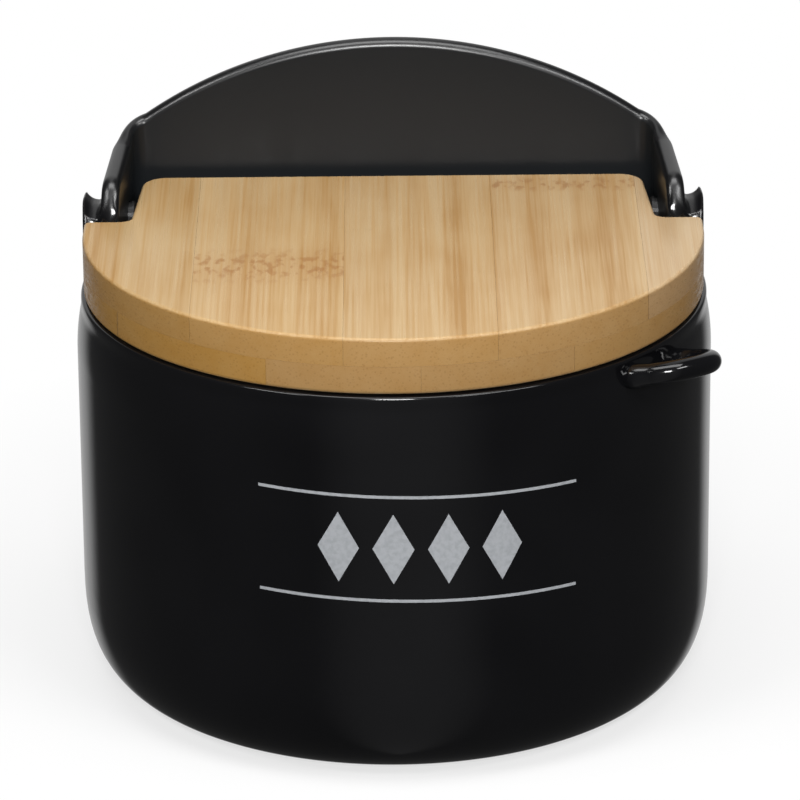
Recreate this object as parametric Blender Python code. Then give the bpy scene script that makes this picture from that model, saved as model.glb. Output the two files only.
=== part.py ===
"""Salt box with a hinged bamboo lid.

A glazed stoneware pot with a round front, a flat back and a raised hood, a small loop for a spoon
on its right front, and a two-ply bamboo lid that turns on two steel pins in nylon bushes.
Lengths are metres. The front faces -Y and the pot stands on Z = 0, under the middle of its plan.
"""

import math

import bmesh
import bpy
from mathutils import Matrix, Vector

# Pot: outline seen from above
POT_RADIUS = 0.0632  # round front, outside
POT_BACK = 0.0403  # from the middle of the round front to the flat back
SIDE_TAPER = 4.0  # degrees that each straight side leans in towards the back
BACK_CORNER = 0.0110  # rounding of the two upright back corners
POT_WALL = 0.0045

# Pot: heights and foot
RIM_HEIGHT = 0.0811  # the rim that the lid lies on
RIM_EDGE = 0.0014  # rounding of the rim's two edges
NECK_IN = 0.0010  # how far the wall draws in under the rim
NECK_UP = 0.0090  # height of the stretch that draws in
FOOT_ROUND_IN = 0.0165  # how far the foot draws in
FOOT_ROUND_UP = 0.0225  # how far up it starts to draw in
FOOT_FULLNESS = 2.7  # 2 is an ellipse, more is squarer
FOOT_WIDTH = 0.0050  # flat ring that the pot stands on
FOOT_RECESS = 0.0012
FLOOR_THICKNESS = 0.0050
INNER_ROUND_IN = 0.0145
INNER_ROUND_UP = 0.0190

# Hood: the raised back with its cheeks
HOOD_RISE = 0.0275  # top of the arch over the lid's top face
SHOULDER_RISE = 0.0065  # the arch's ends, over the cheeks, above the lid's top face
HOOD_WALL = 0.0037
CHEEK_INSET = 0.0044  # shoulder between the pot's side and the cheek
EAR_RISE = 0.0006  # lip of the ear beside each cheek, over the lid's top face
EAR_LENGTH = 0.0100  # level stretch of the ear
EAR_FALL = 0.0045  # stretch in which it falls to the shoulder behind
EAR_LIP = 0.0003  # rounding of the ear's lip
SHOULDER_ROUND = 0.0012  # rounding of the shoulder behind the ear
GUTTER_TURN = 60.0  # degrees that the ear's hollow rises towards its lip
LEDGE_ROUND = 0.0005
LUG_FOOT = 0.0100  # depth under the rim where the hinge lug grows out of the wall
LUG_FRONT_RUN = 0.0004  # run of the lug's steep front face

# Lid
LID_THICKNESS = 0.0113
LID_INSET = 0.0016  # lid edge inside the pot's outline
LID_EDGE = 0.0006  # eased edges of the board
WING_REAR = 0.0060  # rear edge of the wings, behind the middle of the round front
WING_CORNER = 0.0012
TONGUE_GAP = 0.0024  # between the tongue and each cheek, the same all along
TONGUE_REAR_GAP = 0.0040  # between the tongue and the hood
TONGUE_CORNER = 0.0050
TONGUE_FILLET = 0.0025
BOARD_STRIPS = 5  # strips glued side by side in each ply
BOARD_TRIM = 0.19  # share of the lid's width cut off the two edge strips of a ply, together
BOARD_SHIFT = 0.17  # share of a strip that the top ply's middle strip lies right of the lid's middle

# Hinge
PIN_SETBACK = 0.0074  # from the pin's axis to the tongue's rear edge
PIN_RADIUS = 0.0015
PIN_GRIP = 0.0100  # length of the pin in the lid
PIN_END_DEPTH = 0.0004  # pin's outer end, inside the cheek's outer face
PIN_CHAMFER = 0.0003
BUSH_WALL = 0.0009
COLLAR_RADIUS = 0.0030
COLLAR_THICKNESS = 0.0008
BUSH_END_DEPTH = 0.0006
SWING_GAP = 0.0005  # between the lug and the wings as they swing past

# Spoon loop
LOOP_AZIMUTH = 54.6  # degrees from the front towards the right
LOOP_AIM = 92.0  # degrees, the way the loop points
LOOP_DROP = 0.0037  # loop's middle under the rim, at the pot
LOOP_REACH = 0.0096  # from the pot's side to the loop's middle line
LOOP_HALF_SPAN = 0.0090
LOOP_RADIUS = 0.0021
LOOP_ROOT_RADIUS = 0.0025
LOOP_ROOT_LENGTH = 0.0040
LOOP_ROOT_DEPTH = 0.0082  # how far the loop's line runs on inside the pot's outline
LOOP_TILT = 1.0  # degrees, outer end up
LOOP_LEAN = 10.0  # degrees, front arm up

# Fits
TOUCH_GAP = 0.0003  # between pieces that touch

# Mesh fineness
FRONT_STEPS = 26
SIDE_STEPS = 11
CORNER_STEPS = 7
BACK_STEPS = 9
ROUND_STEPS = 8
GUTTER_STEPS = 6
PIN_SIDES = 24
LOOP_SIDES = 14
LOOP_STEPS = 30

# Worked out from the sizes above
TAPER = math.radians(SIDE_TAPER)
SWING_FRONT = WING_REAR + SWING_GAP
LID_BOTTOM = RIM_HEIGHT + TOUCH_GAP
LID_TOP = LID_BOTTOM + LID_THICKNESS
HOOD_TOP = LID_TOP + HOOD_RISE
CHEEK_MIDDLE = POT_RADIUS - CHEEK_INSET - HOOD_WALL / 2
HOOD_DROP = HOOD_RISE - SHOULDER_RISE
HOOD_ARC = (CHEEK_MIDDLE**2 + HOOD_DROP**2) / (2 * HOOD_DROP)  # radius, seen from the front
TONGUE_REAR = POT_BACK - HOOD_WALL - TONGUE_REAR_GAP
AXIS_Y = TONGUE_REAR - PIN_SETBACK
AXIS_Z = LID_BOTTOM + LID_THICKNESS / 2
CHEEK_OUTER = (POT_RADIUS - CHEEK_INSET) / math.cos(TAPER) - AXIS_Y * math.tan(TAPER)  # at the hinge axis
CHEEK_INNER = CHEEK_OUTER - HOOD_WALL / math.cos(TAPER)
TONGUE_HALF = CHEEK_INNER - TONGUE_GAP
SWING_RADIUS = AXIS_Y - SWING_FRONT
EAR_HEIGHT = LID_TOP + EAR_RISE
CHEEK_FRONT = AXIS_Y - math.sqrt(SWING_RADIUS**2 - (EAR_HEIGHT - AXIS_Z) ** 2)
LID_RADIUS = POT_RADIUS - LID_INSET
STRIP_WIDTH = 2 * LID_RADIUS * (1 + BOARD_TRIM) / BOARD_STRIPS
ARC_Y = (POT_RADIUS - POT_BACK) / 2  # middle of the round front in the part's frame
BUSH_RADIUS = PIN_RADIUS + TOUCH_GAP + BUSH_WALL


def mix(a, b, share):
    """A value between a and b."""
    return a + (b - a) * share


def ease(value):
    """0 to 1 with a soft start and end, flat outside."""
    value = min(1.0, max(0.0, value))
    return value * value * (3 - 2 * value)


def soft_min(a, b, blend):
    """The smaller of two heights, rounded where they cross."""
    share = min(1.0, max(0.0, 0.5 + (b - a) / (2 * blend)))
    return mix(b, a, share) - blend * share * (1 - share)


def plain_material(name, colour, roughness, metallic=0.0):
    """A plain material with a colour, a roughness and a metallic value."""
    material = bpy.data.materials.new(name)
    material.use_nodes = True
    shader = material.node_tree.nodes["Principled BSDF"]
    shader.inputs["Base Color"].default_value = (*colour, 1.0)
    shader.inputs["Roughness"].default_value = roughness
    shader.inputs["Metallic"].default_value = metallic
    material.diffuse_color = (*colour, 1.0)
    return material


def add_object(name, bm, material, parent=None, smooth_angle=math.radians(35)):
    """Turns a bmesh into a named, shaded object."""
    bmesh.ops.recalc_face_normals(bm, faces=bm.faces)
    mesh = bpy.data.meshes.new(name)
    bm.to_mesh(mesh)
    bm.free()
    mesh.shade_smooth()
    mesh.set_sharp_from_angle(angle=smooth_angle)
    mesh.materials.append(material)
    obj = bpy.data.objects.new(name, mesh)
    bpy.context.scene.collection.objects.link(obj)
    if parent:
        mesh.transform(Matrix.Translation(-parent.location))
        obj.parent = parent
    return obj


def cut_away(obj, cutter):
    """Cuts one object's shape out of another."""
    cutter.hide_render = True
    cutter.display_type = "WIRE"
    cut = obj.modifiers.new("cut_" + cutter.name, "BOOLEAN")
    cut.operation = "DIFFERENCE"
    cut.solver = "EXACT"
    cut.object = cutter


def half_plan():
    """Points and outward directions of the pot's right half, from the front's middle to the back's middle.

    Y counts from the middle of the round front, which runs on until it meets the straight side.
    """
    stations = []
    for step in range(FRONT_STEPS):
        angle = (math.pi / 2 + TAPER) * step / (FRONT_STEPS - 1)
        outward = Vector((math.sin(angle), -math.cos(angle)))
        stations.append((outward * POT_RADIUS, outward))
    corner_y = POT_BACK - BACK_CORNER
    side_end = corner_y + BACK_CORNER * math.sin(TAPER)
    lug_start = SWING_FRONT + LUG_FRONT_RUN
    marks = [SWING_FRONT]
    marks += [lug_start + (side_end - lug_start) * (step / SIDE_STEPS) ** 2 for step in range(SIDE_STEPS)]
    for y in marks:
        side_x = POT_RADIUS / math.cos(TAPER) - y * math.tan(TAPER)
        stations.append((Vector((side_x, y)), Vector((math.cos(TAPER), math.sin(TAPER)))))
    corner_x = (POT_RADIUS - BACK_CORNER) / math.cos(TAPER) - corner_y * math.tan(TAPER)
    centre = Vector((corner_x, corner_y))
    for step in range(CORNER_STEPS):
        angle = mix(TAPER, math.pi / 2, step / CORNER_STEPS)
        outward = Vector((math.cos(angle), math.sin(angle)))
        stations.append((centre + outward * BACK_CORNER, outward))
    for step in range(BACK_STEPS + 1):
        x = centre.x * (1 - step / BACK_STEPS)
        stations.append((Vector((x, POT_BACK)), Vector((0, 1))))
    return stations


def full_plan():
    """The whole outline, counter-clockwise from the front's middle."""
    right = half_plan()
    left = [(Vector((-p.x, p.y)), Vector((-n.x, n.y))) for p, n in right[-2:0:-1]]
    return right + left


def top_height(point, outward):
    """Height of the wall's top at one place: the rim in front, the lug's round front, then the arch."""
    if point.y <= SWING_FRONT + TOUCH_GAP / 10:
        return RIM_HEIGHT
    middle_x = abs(point.x) - (CHEEK_INSET + HOOD_WALL / 2) * abs(outward.x)
    arch = HOOD_TOP - (HOOD_ARC - math.sqrt(HOOD_ARC**2 - middle_x**2))
    if point.y >= AXIS_Y:
        return arch
    lug = AXIS_Z + math.sqrt(max(0.0, SWING_RADIUS**2 - (AXIS_Y - point.y) ** 2))
    return soft_min(arch, lug, HOOD_WALL / 2)


def round_profile(reach_in, reach_up):
    """(inset, height) pairs of a full rounding, from flat to upright."""
    pairs = []
    for step in range(ROUND_STEPS + 1):
        angle = math.pi / 2 * (1 - step / ROUND_STEPS)
        inset = reach_in * (1 - math.cos(angle) ** (2 / FOOT_FULLNESS)) if step else reach_in
        pairs.append((inset, reach_up * (1 - math.sin(angle) ** (2 / FOOT_FULLNESS))))
    return pairs


def ear_height(y):
    """Height of the shoulder beside the cheek: the ear in front, then down to the rim's level."""
    return mix(EAR_HEIGHT, RIM_HEIGHT, ease((y - SWING_FRONT - EAR_LENGTH) / EAR_FALL))


def cheek_half(y):
    """Half the cheek's thickness, whose upright front end is round seen from above."""
    run = min(1.0, max(0.0, 2 * (y - CHEEK_FRONT) / HOOD_WALL))
    return max(EAR_LIP, HOOD_WALL / 2 * math.sqrt(run * (2 - run)))


def wall_path(point, outward):
    """The wall's section at one place, from under the foot, over the top, to the floor inside."""
    behind = point.y > SWING_FRONT
    neck = NECK_IN * (1 - ease(outward.y))
    inset = neck
    half = (POT_WALL - neck) / 2
    middle = POT_WALL - half
    edge = RIM_EDGE
    squareness = 0.45
    lip = 0.0
    turn = 0.0
    top = top_height(point, outward)
    ledge = top - edge - LEDGE_ROUND
    if behind:
        inset = mix(neck, CHEEK_INSET, 1 - ease(1 - abs(outward.x)))
        half = cheek_half(point.y)
        middle = inset + HOOD_WALL / 2
        ledge = min(ear_height(point.y), top - 2 * EAR_LIP)
        edge = min(half, top - ledge - EAR_LIP / 2)
        squareness = 1.0
        ear = (ear_height(point.y) - RIM_HEIGHT) / (EAR_HEIGHT - RIM_HEIGHT)
        lip = min(mix(SHOULDER_ROUND, EAR_LIP, ear), (inset - neck) / 3)
        turn = math.radians(GUTTER_TURN * ear)

    def at(offset, height):
        place = point - outward * offset
        return Vector((place.x, place.y + ARC_Y, height))

    def drawn_in(offset, shrink, height):
        place = (point - outward * offset) * shrink
        return Vector((place.x, place.y + ARC_Y, height))

    path = []
    foot_share = 1 - FOOT_ROUND_IN / POT_RADIUS
    path.append(drawn_in(0, foot_share - (FOOT_WIDTH + FOOT_RECESS) / POT_RADIUS, FOOT_RECESS))
    path.append(drawn_in(0, foot_share - FOOT_WIDTH / POT_RADIUS, 0))
    for draw, height in round_profile(FOOT_ROUND_IN, FOOT_ROUND_UP):
        path.append(drawn_in(0, 1 - draw / POT_RADIUS, height))
    neck_top = RIM_HEIGHT - 2 * RIM_EDGE
    path.append(at(0, mix(FOOT_ROUND_UP, neck_top - NECK_UP, 0.5)))
    for share in (0, 0.25, 0.5, 0.75, 1):
        path.append(at(neck * share**2, neck_top - NECK_UP * (1 - share)))
    path.append(at(neck, ledge - lip - LEDGE_ROUND / 2))
    path.append(at(neck + lip * 0.3, ledge - lip * 0.3 - LEDGE_ROUND / 4))
    bend = (inset - neck - lip) / (1 + math.sin(turn))
    rise = bend * math.cos(turn) + LEDGE_ROUND
    squash = min(1.0, (top - edge - ledge) / (rise + LEDGE_ROUND))
    for step in range(GUTTER_STEPS + 1):
        share = step / GUTTER_STEPS
        angle = mix(-turn, math.pi / 2, share)
        height = bend * (math.cos(turn) - math.cos(angle)) + LEDGE_ROUND * share
        path.append(at(neck + lip + bend * (math.sin(turn) + math.sin(angle)), ledge + height * squash))
    for step in range(ROUND_STEPS + 1):
        angle = math.pi * step / ROUND_STEPS
        across = math.copysign(abs(math.cos(angle)) ** squareness, math.cos(angle))
        up = math.sin(angle) ** squareness if 0 < step < ROUND_STEPS else 0.0
        path.append(at(middle - half * across, top - edge * (1 - up)))
    for share in (0, 0.25, 0.5, 0.75, 1):
        height = mix(RIM_HEIGHT - LUG_FOOT / 3, RIM_HEIGHT - LUG_FOOT, share)
        path.append(at(mix(middle + half, POT_WALL, ease(share)), height))
    inner_radius = POT_RADIUS - POT_WALL
    for draw, height in reversed(round_profile(INNER_ROUND_IN, INNER_ROUND_UP)):
        path.append(drawn_in(POT_WALL, 1 - draw / inner_radius, FLOOR_THICKNESS + height))
    return path


def make_pot(material):
    """The pot with its hood and hinge lugs, one piece of stoneware."""
    bm = bmesh.new()
    columns = [[bm.verts.new(place) for place in wall_path(*station)] for station in full_plan()]
    count = len(columns)
    for index, column in enumerate(columns):
        following = columns[(index + 1) % count]
        for low in range(len(column) - 1):
            bm.faces.new((column[low], following[low], following[low + 1], column[low + 1]))
    for row in (0, -1):
        ring = [column[row] for column in columns]
        middle = bm.verts.new(Vector((0, ARC_Y, ring[0].co.z)))
        for index, vert in enumerate(ring):
            bm.faces.new((middle, vert, ring[(index + 1) % count]))
    pot = add_object("pot", bm, material)
    for side, word in ((-1, "left"), (1, "right")):
        profile = [
            (CHEEK_INNER - LUG_FOOT, 0),
            (CHEEK_INNER - LUG_FOOT, BUSH_RADIUS + TOUCH_GAP),
            (POT_RADIUS + LUG_FOOT, BUSH_RADIUS + TOUCH_GAP),
            (POT_RADIUS + LUG_FOOT, 0),
        ]
        cut_away(pot, turned("bore_cutter_" + word, profile, side, material))
    return pot


def spun(places, centre, axis, steps, closed):
    """A line of places turned once around an axis, as a bmesh."""
    bm = bmesh.new()
    verts = [bm.verts.new(place) for place in places]
    edges = [bm.edges.new(pair) for pair in zip(verts, verts[1:])]
    if closed:
        edges.append(bm.edges.new((verts[-1], verts[0])))
    bmesh.ops.spin(bm, geom=verts + edges, cent=centre, axis=axis, angle=2 * math.pi, steps=steps)
    bmesh.ops.remove_doubles(bm, verts=bm.verts, dist=TOUCH_GAP / 100)
    return bm


def turned(name, profile, side, material, parent=None):
    """A piece turned about the hinge axis, from (distance from the middle, radius) pairs.

    side is 1 on the right and -1 on the left.
    """
    places = [(side * x, ARC_Y + AXIS_Y + radius, AXIS_Z) for x, radius in profile]
    hollow = profile[0][1] > 0
    bm = spun(places, (0, ARC_Y + AXIS_Y, AXIS_Z), (1, 0, 0), PIN_SIDES, hollow)
    return add_object(name, bm, material, parent)


def make_hinge(pivot, steel, nylon):
    """Two pins that turn with the lid and two collared bushes in the lugs."""
    for side, word in ((-1, "left"), (1, "right")):
        pin_start = TONGUE_HALF - PIN_GRIP
        pin_end = CHEEK_OUTER - PIN_END_DEPTH
        thin = PIN_RADIUS - PIN_CHAMFER
        pin = [
            (pin_start, 0),
            (pin_start, thin),
            (pin_start + PIN_CHAMFER, PIN_RADIUS),
            (pin_end - PIN_CHAMFER, PIN_RADIUS),
            (pin_end, thin),
            (pin_end, 0),
        ]
        turned("hinge_pin_" + word, pin, side, steel, pivot)
        bore = PIN_RADIUS + TOUCH_GAP
        collar_end = CHEEK_INNER - TOUCH_GAP - COLLAR_RADIUS * math.tan(TAPER)
        collar_start = collar_end - COLLAR_THICKNESS
        bush_end = CHEEK_OUTER - BUSH_END_DEPTH
        bush = [
            (collar_start, bore),
            (collar_start, COLLAR_RADIUS - PIN_CHAMFER),
            (collar_start + PIN_CHAMFER, COLLAR_RADIUS),
            (collar_end, COLLAR_RADIUS),
            (collar_end, BUSH_RADIUS),
            (bush_end, BUSH_RADIUS),
            (bush_end, bore),
        ]
        turned("hinge_bush_" + word, bush, side, nylon)


def arc_points(centre, radius, start, end, steps):
    """Points on an arc, angles in degrees."""
    points = []
    for step in range(steps + 1):
        angle = math.radians(mix(start, end, step / steps))
        points.append(Vector((centre[0] + radius * math.cos(angle), centre[1] + radius * math.sin(angle))))
    return points


def tongue_side(y):
    """X of the tongue's side, which runs along the cheek."""
    return TONGUE_HALF + (AXIS_Y - y) * math.tan(TAPER)


def lid_outline():
    """The lid seen from above: a round front, two wings and a narrower tongue behind."""
    wing_x = LID_RADIUS - WING_CORNER
    fillet_y = WING_REAR + TONGUE_FILLET
    fillet_x = tongue_side(fillet_y) + TONGUE_FILLET / math.cos(TAPER)
    corner_y = TONGUE_REAR - TONGUE_CORNER
    corner_x = tongue_side(corner_y) - TONGUE_CORNER / math.cos(TAPER)
    right = arc_points((0, 0), LID_RADIUS, -90, 0, FRONT_STEPS)
    right += arc_points((wing_x, WING_REAR - WING_CORNER), WING_CORNER, 0, 90, 3)
    right += arc_points((fillet_x, fillet_y), TONGUE_FILLET, 270, 180 + SIDE_TAPER, 5)
    right += arc_points((corner_x, corner_y), TONGUE_CORNER, SIDE_TAPER, 90, 6)
    left = [Vector((-p.x, p.y)) for p in reversed(right[1:])]
    return right + left


def make_ply(low, high, eased_top):
    """One ply of the board as a bmesh, with its outer edges eased and the pins' bores cut."""
    bm = bmesh.new()
    floor = [bm.verts.new((p.x, p.y + ARC_Y, low)) for p in lid_outline()]
    face = bm.faces.new(floor)
    raised = bmesh.ops.extrude_face_region(bm, geom=[face])["geom"]
    top = [item for item in raised if isinstance(item, bmesh.types.BMVert)]
    bmesh.ops.translate(bm, verts=top, vec=(0, 0, high - low))
    eased = high if eased_top else low
    edges = [e for e in bm.edges if all(abs(v.co.z - eased) < TOUCH_GAP / 100 for v in e.verts)]
    bmesh.ops.bevel(bm, geom=edges, offset=LID_EDGE, segments=2, profile=0.5, affect="EDGES")
    return bm


def strip_joints(shift):
    """X of the glued joints of one ply, whose board lies that share of a strip right of the lid's middle."""
    return [STRIP_WIDTH * (shift + index - BOARD_STRIPS / 2) for index in range(1, BOARD_STRIPS)]


def make_strips(word, low, high, shift, eased_top, material, pivot, bores):
    """The glued strips of one ply, each a piece of its own."""
    joints = strip_joints(shift)
    lows = [-POT_RADIUS * 2] + [x + TOUCH_GAP / 2 for x in joints]
    highs = [x - TOUCH_GAP / 2 for x in joints] + [POT_RADIUS * 2]
    for index, (left, right) in enumerate(zip(lows, highs)):
        bm = make_ply(low, high, eased_top)
        for x, direction in ((left, -1), (right, 1)):
            cut = bmesh.ops.bisect_plane(
                bm,
                geom=bm.verts[:] + bm.edges[:] + bm.faces[:],
                plane_co=(x, 0, 0),
                plane_no=(direction, 0, 0),
                clear_outer=True,
            )
            rim = [item for item in cut["geom_cut"] if isinstance(item, bmesh.types.BMEdge)]
            if rim:
                bmesh.ops.edgenet_fill(bm, edges=rim)
        strip = add_object(f"lid_{word}_strip_{index + 1}", bm, material, pivot)
        for side, bore in bores.items():
            grip_start = TONGUE_HALF - PIN_GRIP - TOUCH_GAP
            reaches = right > grip_start if side > 0 else left < -grip_start
            if reaches:
                cut_away(strip, bore)


def make_lid(pivot, material):
    """The board: a top and a bottom ply of strips, with blind bores for the pins.

    The bottom ply's joints lie half a strip from the top ply's.
    """
    bores = {}
    for side, word in ((-1, "left"), (1, "right")):
        profile = [
            (TONGUE_HALF - PIN_GRIP - TOUCH_GAP, 0),
            (TONGUE_HALF - PIN_GRIP - TOUCH_GAP, PIN_RADIUS + TOUCH_GAP),
            (TONGUE_HALF + TONGUE_GAP, PIN_RADIUS + TOUCH_GAP),
            (TONGUE_HALF + TONGUE_GAP, 0),
        ]
        bores[side] = turned("pin_cutter_" + word, profile, side, material)
    middle = (LID_BOTTOM + LID_TOP) / 2
    half_seam = TOUCH_GAP / 2
    lower_shift = BOARD_SHIFT - 0.5
    make_strips("top", middle + half_seam, LID_TOP, BOARD_SHIFT, True, material, pivot, bores)
    make_strips("bottom", LID_BOTTOM, middle - half_seam, lower_shift, False, material, pivot, bores)


def loop_place(share):
    """A point of the loop's middle line; share runs from the front root (0) to the rear one (1)."""
    azimuth = math.radians(LOOP_AZIMUTH)
    aim = math.radians(LOOP_AIM)
    middle = Vector((math.sin(azimuth), -math.cos(azimuth))) * POT_RADIUS
    out = Vector((math.sin(aim), -math.cos(aim)))
    across = Vector((-out.y, out.x))
    angle = math.pi * share
    reach = (LOOP_REACH + LOOP_ROOT_DEPTH) * math.sin(angle) ** 0.8 - LOOP_ROOT_DEPTH
    forward = LOOP_HALF_SPAN * math.cos(angle)
    place = middle + out * reach - across * forward
    rise = reach * math.tan(math.radians(LOOP_TILT)) + forward * math.tan(math.radians(LOOP_LEAN))
    return Vector((place.x, place.y + ARC_Y, RIM_HEIGHT - LOOP_DROP + rise))


def make_spoon_loop(material):
    """A round loop of clay, thicker at its roots, whose ends follow the pot's round side and neck."""
    bm = bmesh.new()
    places = [loop_place(step / LOOP_STEPS) for step in range(LOOP_STEPS + 1)]
    rings = []
    for index, place in enumerate(places):
        ahead = places[min(index + 1, LOOP_STEPS)]
        before = places[max(index - 1, 0)]
        along = (ahead - before).normalized()
        clear = Vector((place.x, place.y - ARC_Y)).length - POT_RADIUS
        radius = mix(LOOP_ROOT_RADIUS, LOOP_RADIUS, ease(clear / LOOP_ROOT_LENGTH))
        sideways = along.cross(Vector((0, 0, 1))).normalized()
        upward = sideways.cross(along)
        ring = []
        for side in range(LOOP_SIDES):
            angle = 2 * math.pi * side / LOOP_SIDES
            ring.append(bm.verts.new(place + (sideways * math.cos(angle) + upward * math.sin(angle)) * radius))
        rings.append(ring)
    for ring, following in zip(rings, rings[1:]):
        for side in range(LOOP_SIDES):
            turn = (side + 1) % LOOP_SIDES
            bm.faces.new((ring[side], ring[turn], following[turn], following[side]))
    bm.faces.new(rings[0][::-1])
    bm.faces.new(rings[-1])
    loop = add_object("spoon_loop", bm, material)
    neck_top = RIM_HEIGHT - 2 * RIM_EDGE
    outside = POT_RADIUS + TOUCH_GAP
    profile = [(0, RIM_HEIGHT / 2), (outside, RIM_HEIGHT / 2)]
    for share in (0, 0.25, 0.5, 0.75, 1):
        profile.append((outside - NECK_IN * share**2, neck_top - NECK_UP * (1 - share)))
    profile += [(outside - NECK_IN, LID_TOP), (0, LID_TOP)]
    places = [(radius, ARC_Y, height) for radius, height in profile]
    cutter = spun(places, (0, ARC_Y, 0), (0, 0, 1), 4 * FRONT_STEPS, False)
    cut_away(loop, add_object("side_cutter", cutter, material))
    return loop


def build():
    """Makes every piece of the salt box."""
    for obj in list(bpy.data.objects):
        bpy.data.objects.remove(obj)
    glaze = plain_material("black_glaze", (0.012, 0.012, 0.014), 0.12)
    bamboo = plain_material("bamboo", (0.62, 0.40, 0.20), 0.5)
    steel = plain_material("stainless_steel", (0.60, 0.60, 0.62), 0.25, 1.0)
    nylon = plain_material("nylon", (0.02, 0.02, 0.02), 0.4)
    pivot = bpy.data.objects.new("lid_pivot", None)
    pivot.location = (0, ARC_Y + AXIS_Y, AXIS_Z)
    bpy.context.scene.collection.objects.link(pivot)
    make_pot(glaze)
    make_spoon_loop(glaze)
    make_lid(pivot, bamboo)
    make_hinge(pivot, steel, nylon)


build()
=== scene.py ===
import math
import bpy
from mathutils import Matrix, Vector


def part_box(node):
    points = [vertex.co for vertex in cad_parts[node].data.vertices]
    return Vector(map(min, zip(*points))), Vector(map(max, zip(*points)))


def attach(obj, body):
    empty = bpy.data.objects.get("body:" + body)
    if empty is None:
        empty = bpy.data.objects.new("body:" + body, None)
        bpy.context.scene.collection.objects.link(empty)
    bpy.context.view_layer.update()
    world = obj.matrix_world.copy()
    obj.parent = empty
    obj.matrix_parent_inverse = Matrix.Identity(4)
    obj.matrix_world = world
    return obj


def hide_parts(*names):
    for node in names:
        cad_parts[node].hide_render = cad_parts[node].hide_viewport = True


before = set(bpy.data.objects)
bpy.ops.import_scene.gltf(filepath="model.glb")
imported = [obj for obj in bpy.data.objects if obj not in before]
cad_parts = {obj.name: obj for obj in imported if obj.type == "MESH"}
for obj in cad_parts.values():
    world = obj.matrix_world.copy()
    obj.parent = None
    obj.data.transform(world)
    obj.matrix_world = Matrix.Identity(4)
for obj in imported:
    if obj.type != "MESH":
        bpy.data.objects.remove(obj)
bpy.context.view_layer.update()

from types import SimpleNamespace

import bmesh
import bpy
from mathutils import Quaternion, Vector

# Looks of the salt box: glazed stoneware, two-ply bamboo board, steel pins and nylon bushes.
# Lengths are millimetres and become metres where a vertex is made; those of the camera, lamps and
# floor are metres. Y counts from the centre of the pot's round front; ARC_Y makes it the frame's Y.
MM = 0.001

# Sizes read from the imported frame
POT_LOW, POT_HIGH = [Vector(corner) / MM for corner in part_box("pot")]
PIN_LOW, PIN_HIGH = [Vector(corner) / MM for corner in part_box("hinge_pin_right")]
TOUCH_GAP = 0.3  # left in the part between pieces that touch on the real one
POT_RADIUS = POT_HIGH.x
ARC_Y = POT_LOW.y + POT_RADIUS
POT_BACK = POT_HIGH.y - ARC_Y
HOOD_TOP = POT_HIGH.z
LID_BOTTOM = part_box("lid_bottom_strip_3")[0][2] / MM
LID_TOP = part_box("lid_top_strip_3")[1][2] / MM
RIM_HEIGHT = LID_BOTTOM - TOUCH_GAP
TONGUE_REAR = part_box("lid_top_strip_3")[1][1] / MM - ARC_Y
AXIS_Y = (PIN_LOW.y + PIN_HIGH.y) / 2 - ARC_Y
AXIS_Z = (PIN_LOW.z + PIN_HIGH.z) / 2

# Pot: plan, wall, rim and foot
SIDE_TAPER = math.radians(4)
BACK_CORNER = 11.0
POT_WALL = 4.5
RIM_EDGE = 1.4
RIM_SQUARENESS = 0.45  # 1 is a half ellipse, less is squarer
NECK_IN = 1.0  # how far the wall draws in under the rim
NECK_UP = 9.0
FOOT_ROUND_IN = 16.5
FOOT_ROUND_UP = 22.5
FOOT_FULLNESS = 2.7  # 2 is a plain ellipse, more is fuller
FOOT_WIDTH = 5.0
FOOT_RECESS = 1.2
FLOOR_THICKNESS = 5.0
INNER_ROUND_IN = 14.5
INNER_ROUND_UP = 19.0

# Pot: hood, cheeks and the lugs that carry the hinge
HOOD_WALL = 3.7
SHOULDER_RISE = 6.5  # of the arch's ends above the lid
CHEEK_INSET = 4.4
WING_REAR = 6.0  # rear edge of the lid's wings
WING_GAP = 0.5  # from the wings to the lugs
SWING_FRONT = WING_REAR + WING_GAP
SWING_RADIUS = AXIS_Y - SWING_FRONT
LUG_FOOT = 10.0  # how far under the rim the inner side is back at the wall
LUG_FRONT_RUN = 0.4  # over which the section turns from rim to lug
HOOD_DROP = HOOD_TOP - LID_TOP - SHOULDER_RISE
CHEEK_MIDDLE = POT_RADIUS - CHEEK_INSET - HOOD_WALL / 2
HOOD_ARC = (CHEEK_MIDDLE**2 + HOOD_DROP**2) / (2 * HOOD_DROP)
CHEEK_OUTER = (POT_RADIUS - CHEEK_INSET) / math.cos(SIDE_TAPER) - AXIS_Y * math.tan(SIDE_TAPER)
CHEEK_INNER = CHEEK_OUTER - HOOD_WALL / math.cos(SIDE_TAPER)
BORE_RADIUS = 3.0
BORE_DEPTH = 20.0

# Pot: the ear beside each cheek and the gutter between them
EAR_RISE = 2.9
EAR_FRONT_DROP = 0.2
EAR_HEIGHT = LID_TOP + EAR_RISE
EAR_START = LID_TOP - EAR_FRONT_DROP  # height of its front end
EAR_SLOPE = 5.0  # over which it rises
EAR_LENGTH = 9.0
EAR_FALL = 6.0  # over which it falls again behind
EAR_FLARE = 0.6  # how far its lip leans out
EAR_LIP = 0.45
SHOULDER_ROUND = 1.2
LEDGE_ROUND = 0.5
GUTTER_TURN = math.radians(62)
GUTTER_SHARE = 0.8  # of the shoulder's width that falls from the lip; the rest turns up the cheek
CHEEK_FRONT = AXIS_Y - math.sqrt(SWING_RADIUS**2 - (EAR_START - AXIS_Z) ** 2)

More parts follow.
